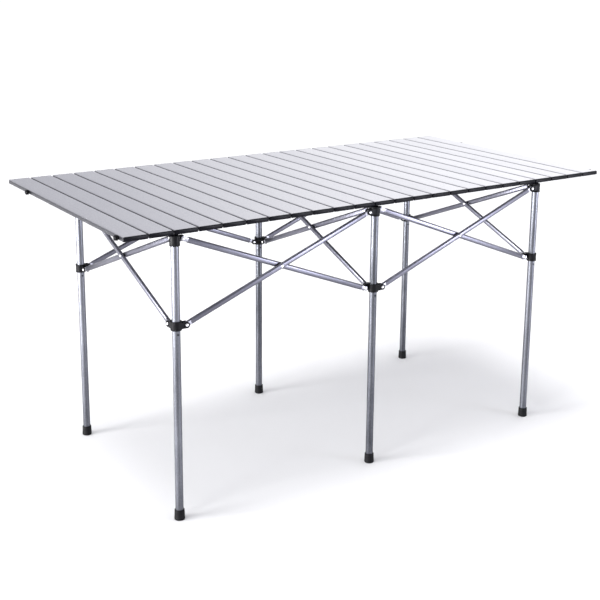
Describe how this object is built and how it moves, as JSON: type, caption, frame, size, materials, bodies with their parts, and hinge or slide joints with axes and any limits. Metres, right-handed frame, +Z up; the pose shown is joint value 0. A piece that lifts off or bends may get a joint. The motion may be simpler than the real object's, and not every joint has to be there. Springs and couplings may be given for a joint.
{
  "type": "folding camping table",
  "caption": "Folding camping table: a rectangular roll-up top of aluminium slats on a collapsible scissor frame with capped tubular legs.",
  "frame": {"origin": "middle of the table's footprint box, on the ground under the feet", "axes": "+X along the length towards the end with the longer overhang, +Y towards the side with the deeper overhang, +Z up"},
  "size_m": [1.4162, 0.7125, 0.66],
  "materials": {
    "slat_metal": "brushed, clear anodised",
    "leg_metal": "satin anodised",
    "strut_metal": "satin anodised",
    "black_plastic": "satin moulded"
  },
  "bodies": {
    "leg_front_left": {"leg_front_left": "leg_metal", "hub_and_foot_front_left": "black_plastic"},
    "slider_front_left": {"slider_front_left": "black_plastic"},
    "leg_front_middle": {"leg_front_middle": "leg_metal", "hub_and_foot_front_middle": "black_plastic"},
    "slider_front_middle": {"slider_front_middle": "black_plastic"},
    "leg_front_right": {"leg_front_right": "leg_metal", "hub_and_foot_front_right": "black_plastic"},
    "slider_front_right": {"slider_front_right": "black_plastic"},
    "leg_back_left": {"leg_back_left": "leg_metal", "hub_and_foot_back_left": "black_plastic"},
    "slider_back_left": {"slider_back_left": "black_plastic"},
    "leg_back_middle": {"leg_back_middle": "leg_metal", "hub_and_foot_back_middle": "black_plastic"},
    "slider_back_middle": {"slider_back_middle": "black_plastic"},
    "leg_back_right": {"leg_back_right": "leg_metal", "hub_and_foot_back_right": "black_plastic"},
    "slider_back_right": {"slider_back_right": "black_plastic"},
    "strut_front_left_inner": {"strut_front_left_inner": "strut_metal"},
    "strut_front_left_outer": {"strut_front_left_outer": "strut_metal"},
    "strut_front_right_inner": {"strut_front_right_inner": "strut_metal"},
    "strut_front_right_outer": {"strut_front_right_outer": "strut_metal"},
    "strut_back_left_inner": {"strut_back_left_inner": "strut_metal"},
    "strut_back_left_outer": {"strut_back_left_outer": "strut_metal"},
    "strut_back_right_inner": {"strut_back_right_inner": "strut_metal"},
    "strut_back_right_outer": {"strut_back_right_outer": "strut_metal"},
    "cross_left_front_high": {"cross_left_front_high": "strut_metal"},
    "cross_left_back_high": {"cross_left_back_high": "strut_metal"},
    "cross_middle_front_high": {"cross_middle_front_high": "strut_metal"},
    "cross_middle_back_high": {"cross_middle_back_high": "strut_metal"},
    "cross_right_front_high": {"cross_right_front_high": "strut_metal"},
    "cross_right_back_high": {"cross_right_back_high": "strut_metal"},
    "slat_01": {"slat_01": "slat_metal"},
    "slat_02": {"slat_02": "slat_metal"},
    "slat_03": {"slat_03": "slat_metal"},
    "slat_04": {"slat_04": "slat_metal"},
    "slat_05": {"slat_05": "slat_metal"},
    "slat_06": {"slat_06": "slat_metal"},
    "slat_07": {"slat_07": "slat_metal"},
    "slat_08": {"slat_08": "slat_metal"},
    "slat_09": {"slat_09": "slat_metal"},
    "slat_10": {"slat_10": "slat_metal"},
    "slat_11": {"slat_11": "slat_metal"},
    "slat_12": {"slat_12": "slat_metal"},
    "slat_13": {"slat_13": "slat_metal"},
    "slat_14": {"slat_14": "slat_metal"},
    "slat_15": {"slat_15": "slat_metal"},
    "slat_16": {"slat_16": "slat_metal"},
    "slat_17": {"slat_17": "slat_metal"},
    "slat_18": {"slat_18": "slat_metal"},
    "slat_19": {"slat_19": "slat_metal"},
    "slat_20": {"slat_20": "slat_metal"},
    "slat_21": {"slat_21": "slat_metal"},
    "slat_22": {"slat_22": "slat_metal"},
    "slat_23": {"slat_23": "slat_metal"},
    "slat_24": {"slat_24": "slat_metal"}
  },
  "joints": [
    {"name": "frame_fold", "type": "hinge", "parent": "leg_front_middle", "child": "strut_front_left_outer", "pos_m": [-0.0794, -0.3481, 0.6396], "axis": [0, -1, 0], "range_deg": [0, 66.5]},
    {"name": "front_left_crossing", "type": "hinge", "parent": "strut_front_left_outer", "child": "strut_front_left_inner", "pos_m": [-0.3212, -0.3438, 0.5456], "axis": [0, 1, 0], "range_deg": [0, 133]},
    {"name": "leg_front_left_pivot", "type": "hinge", "parent": "strut_front_left_inner", "child": "leg_front_left", "pos_m": [-0.563, -0.3395, 0.6396], "axis": [0, -1, 0], "range_deg": [0, 66.5]},
    {"name": "slider_front_left_pivot", "type": "hinge", "parent": "strut_front_left_outer", "child": "slider_front_left", "pos_m": [-0.563, -0.3481, 0.4516], "axis": [0, 1, 0], "range_deg": [0, 66.5]},
    {"name": "slider_front_middle_pivot", "type": "hinge", "parent": "strut_front_left_inner", "child": "slider_front_middle", "pos_m": [-0.0794, -0.3395, 0.4516], "axis": [0, -1, 0], "range_deg": [0, 66.5]},
    {"name": "front_right_inner_pivot", "type": "hinge", "parent": "leg_front_middle", "child": "strut_front_right_inner", "pos_m": [-0.0374, -0.3395, 0.6396], "axis": [0, 1, 0], "range_deg": [0, 66.5]},
    {"name": "front_right_crossing", "type": "hinge", "parent": "strut_front_right_inner", "child": "strut_front_right_outer", "pos_m": [0.2044, -0.3438, 0.5456], "axis": [0, -1, 0], "range_deg": [0, 133]},
    {"name": "leg_front_right_pivot", "type": "hinge", "parent": "strut_front_right_outer", "child": "leg_front_right", "pos_m": [0.4462, -0.3481, 0.6396], "axis": [0, 1, 0], "range_deg": [0, 66.5]},
    {"name": "slider_front_right_pivot", "type": "hinge", "parent": "strut_front_right_inner", "child": "slider_front_right", "pos_m": [0.4462, -0.3395, 0.4516], "axis": [0, -1, 0], "range_deg": [0, 66.5]},
    {"name": "cross_left_pivot", "type": "hinge", "parent": "leg_front_left", "child": "cross_left_front_high", "pos_m": [-0.5797, -0.3228, 0.6396], "axis": [-1, 0, 0], "range_deg": [0, 66.5]},
    {"name": "cross_left_crossing", "type": "hinge", "parent": "cross_left_front_high", "child": "cross_left_back_high", "pos_m": [-0.584, -0.081, 0.5456], "axis": [1, 0, 0], "range_deg": [0, 133]},
    {"name": "leg_back_left_pivot", "type": "hinge", "parent": "cross_left_back_high", "child": "leg_back_left", "pos_m": [-0.5883, 0.1608, 0.6396], "axis": [-1, 0, 0], "range_deg": [0, 66.5]},
    {"name": "slider_back_left_pivot", "type": "hinge", "parent": "cross_left_front_high", "child": "slider_back_left", "pos_m": [-0.5797, 0.1608, 0.4516], "axis": [1, 0, 0], "range_deg": [0, 66.5]},
    {"name": "cross_middle_pivot", "type": "hinge", "parent": "leg_front_middle", "child": "cross_middle_front_high", "pos_m": [-0.0541, -0.3228, 0.6396], "axis": [-1, 0, 0], "range_deg": [0, 66.5]},
    {"name": "cross_middle_crossing", "type": "hinge", "parent": "cross_middle_front_high", "child": "cross_middle_back_high", "pos_m": [-0.0584, -0.081, 0.5456], "axis": [1, 0, 0], "range_deg": [0, 133]},
    {"name": "leg_back_middle_pivot", "type": "hinge", "parent": "cross_middle_back_high", "child": "leg_back_middle", "pos_m": [-0.0627, 0.1608, 0.6396], "axis": [-1, 0, 0], "range_deg": [0, 66.5]},
    {"name": "slider_back_middle_pivot", "type": "hinge", "parent": "cross_middle_front_high", "child": "slider_back_middle", "pos_m": [-0.0541, 0.1608, 0.4516], "axis": [1, 0, 0], "range_deg": [0, 66.5]},
    {"name": "cross_right_pivot", "type": "hinge", "parent": "leg_front_right", "child": "cross_right_front_high", "pos_m": [0.4715, -0.3228, 0.6396], "axis": [-1, 0, 0], "range_deg": [0, 66.5]},
    {"name": "cross_right_crossing", "type": "hinge", "parent": "cross_right_front_high", "child": "cross_right_back_high", "pos_m": [0.4672, -0.081, 0.5456], "axis": [1, 0, 0], "range_deg": [0, 133]},
    {"name": "leg_back_right_pivot", "type": "hinge", "parent": "cross_right_back_high", "child": "leg_back_right", "pos_m": [0.4629, 0.1608, 0.6396], "axis": [-1, 0, 0], "range_deg": [0, 66.5]},
    {"name": "slider_back_right_pivot", "type": "hinge", "parent": "cross_right_front_high", "child": "slider_back_right", "pos_m": [0.4715, 0.1608, 0.4516], "axis": [1, 0, 0], "range_deg": [0, 66.5]},
    {"name": "back_left_outer_pivot", "type": "hinge", "parent": "leg_back_middle", "child": "strut_back_left_outer", "pos_m": [-0.0794, 0.1861, 0.6396], "axis": [0, -1, 0], "range_deg": [0, 66.5]},
    {"name": "back_left_crossing", "type": "hinge", "parent": "strut_back_left_outer", "child": "strut_back_left_inner", "pos_m": [-0.3212, 0.1818, 0.5456], "axis": [0, 1, 0], "range_deg": [0, 133]},
    {"name": "back_right_inner_pivot", "type": "hinge", "parent": "leg_back_middle", "child": "strut_back_right_inner", "pos_m": [-0.0374, 0.1775, 0.6396], "axis": [0, 1, 0], "range_deg": [0, 66.5]},
    {"name": "back_right_crossing", "type": "hinge", "parent": "strut_back_right_inner", "child": "strut_back_right_outer", "pos_m": [0.2044, 0.1818, 0.5456], "axis": [0, -1, 0], "range_deg": [0, 133]},
    {"name": "top_lift", "type": "slide", "parent": "leg_front_middle", "child": "slat_01", "axis": [0, 0, 1], "range_m": [0, 0.3]},
    {"name": "roll_01", "type": "hinge", "parent": "slat_01", "child": "slat_02", "pos_m": [-0.6424, 0.0062, 0.66], "axis": [0, -1, 0], "range_deg": [0, 30]},
    {"name": "roll_02", "type": "hinge", "parent": "slat_02", "child": "slat_03", "pos_m": [-0.584, 0.0062, 0.66], "axis": [0, -1, 0], "range_deg": [0, 30]},
    {"name": "roll_03", "type": "hinge", "parent": "slat_03", "child": "slat_04", "pos_m": [-0.5256, 0.0062, 0.66], "axis": [0, -1, 0], "range_deg": [0, 30.1]},
    {"name": "roll_04", "type": "hinge", "parent": "slat_04", "child": "slat_05", "pos_m": [-0.4672, 0.0062, 0.66], "axis": [0, -1, 0], "range_deg": [0, 30.3]},
    {"name": "roll_05", "type": "hinge", "parent": "slat_05", "child": "slat_06", "pos_m": [-0.4088, 0.0062, 0.66], "axis": [0, -1, 0], "range_deg": [0, 30.5]},
    {"name": "roll_06", "type": "hinge", "parent": "slat_06", "child": "slat_07", "pos_m": [-0.3504, 0.0062, 0.66], "axis": [0, -1, 0], "range_deg": [0, 30.9]},
    {"name": "roll_07", "type": "hinge", "parent": "slat_07", "child": "slat_08", "pos_m": [-0.292, 0.0062, 0.66], "axis": [0, -1, 0], "range_deg": [0, 31.5]},
    {"name": "roll_08", "type": "hinge", "parent": "slat_08", "child": "slat_09", "pos_m": [-0.2336, 0.0062, 0.66], "axis": [0, -1, 0], "range_deg": [0, 32.2]},
    {"name": "roll_09", "type": "hinge", "parent": "slat_09", "child": "slat_10", "pos_m": [-0.1752, 0.0062, 0.66], "axis": [0, -1, 0], "range_deg": [0, 33]},
    {"name": "roll_10", "type": "hinge", "parent": "slat_10", "child": "slat_11", "pos_m": [-0.1168, 0.0062, 0.66], "axis": [0, -1, 0], "range_deg": [0, 34.1]},
    {"name": "roll_11", "type": "hinge", "parent": "slat_11", "child": "slat_12", "pos_m": [-0.0584, 0.0062, 0.66], "axis": [0, -1, 0], "range_deg": [0, 35.3]},
    {"name": "roll_12", "type": "hinge", "parent": "slat_12", "child": "slat_13", "pos_m": [0, 0.0062, 0.66], "axis": [0, -1, 0], "range_deg": [0, 36.7]},
    {"name": "roll_13", "type": "hinge", "parent": "slat_13", "child": "slat_14", "pos_m": [0.0584, 0.0062, 0.66], "axis": [0, -1, 0], "range_deg": [0, 38.3]},
    {"name": "roll_14", "type": "hinge", "parent": "slat_14", "child": "slat_15", "pos_m": [0.1168, 0.0062, 0.66], "axis": [0, -1, 0], "range_deg": [0, 40.2]},
    {"name": "roll_15", "type": "hinge", "parent": "slat_15", "child": "slat_16", "pos_m": [0.1752, 0.0062, 0.66], "axis": [0, -1, 0], "range_deg": [0, 42.3]},
    {"name": "roll_16", "type": "hinge", "parent": "slat_16", "child": "slat_17", "pos_m": [0.2336, 0.0062, 0.66], "axis": [0, -1, 0], "range_deg": [0, 44.6]},
    {"name": "roll_17", "type": "hinge", "parent": "slat_17", "child": "slat_18", "pos_m": [0.292, 0.0062, 0.66], "axis": [0, -1, 0], "range_deg": [0, 47.1]},
    {"name": "roll_18", "type": "hinge", "parent": "slat_18", "child": "slat_19", "pos_m": [0.3504, 0.0062, 0.66], "axis": [0, -1, 0], "range_deg": [0, 49.9]},
    {"name": "roll_19", "type": "hinge", "parent": "slat_19", "child": "slat_20", "pos_m": [0.4088, 0.0062, 0.66], "axis": [0, -1, 0], "range_deg": [0, 53]},
    {"name": "roll_20", "type": "hinge", "parent": "slat_20", "child": "slat_21", "pos_m": [0.4672, 0.0062, 0.66], "axis": [0, -1, 0], "range_deg": [0, 56.3]},
    {"name": "roll_21", "type": "hinge", "parent": "slat_21", "child": "slat_22", "pos_m": [0.5256, 0.0062, 0.66], "axis": [0, -1, 0], "range_deg": [0, 59.9]},
    {"name": "roll_22", "type": "hinge", "parent": "slat_22", "child": "slat_23", "pos_m": [0.584, 0.0062, 0.66], "axis": [0, -1, 0], "range_deg": [0, 63.8]},
    {"name": "roll_23", "type": "hinge", "parent": "slat_23", "child": "slat_24", "pos_m": [0.6424, 0.0062, 0.66], "axis": [0, -1, 0], "range_deg": [0, 68]}
  ],
  "couplings": [
    {"joint": "front_left_crossing", "follows": "frame_fold", "ratio": 2},
    {"joint": "leg_front_left_pivot", "follows": "frame_fold", "ratio": 1},
    {"joint": "slider_front_left_pivot", "follows": "frame_fold", "ratio": 1},
    {"joint": "slider_front_middle_pivot", "follows": "frame_fold", "ratio": 1},
    {"joint": "front_right_inner_pivot", "follows": "frame_fold", "ratio": 1},
    {"joint": "front_right_crossing", "follows": "frame_fold", "ratio": 2},
    {"joint": "leg_front_right_pivot", "follows": "frame_fold", "ratio": 1},
    {"joint": "slider_front_right_pivot", "follows": "frame_fold", "ratio": 1},
    {"joint": "cross_left_pivot", "follows": "frame_fold", "ratio": 1},
    {"joint": "cross_left_crossing", "follows": "frame_fold", "ratio": 2},
    {"joint": "leg_back_left_pivot", "follows": "frame_fold", "ratio": 1},
    {"joint": "slider_back_left_pivot", "follows": "frame_fold", "ratio": 1},
    {"joint": "cross_middle_pivot", "follows": "frame_fold", "ratio": 1},
    {"joint": "cross_middle_crossing", "follows": "frame_fold", "ratio": 2},
    {"joint": "leg_back_middle_pivot", "follows": "frame_fold", "ratio": 1},
    {"joint": "slider_back_middle_pivot", "follows": "frame_fold", "ratio": 1},
    {"joint": "cross_right_pivot", "follows": "frame_fold", "ratio": 1},
    {"joint": "cross_right_crossing", "follows": "frame_fold", "ratio": 2},
    {"joint": "leg_back_right_pivot", "follows": "frame_fold", "ratio": 1},
    {"joint": "slider_back_right_pivot", "follows": "frame_fold", "ratio": 1},
    {"joint": "back_left_outer_pivot", "follows": "frame_fold", "ratio": 1},
    {"joint": "back_left_crossing", "follows": "frame_fold", "ratio": 2},
    {"joint": "back_right_inner_pivot", "follows": "frame_fold", "ratio": 1},
    {"joint": "back_right_crossing", "follows": "frame_fold", "ratio": 2}
  ]
}
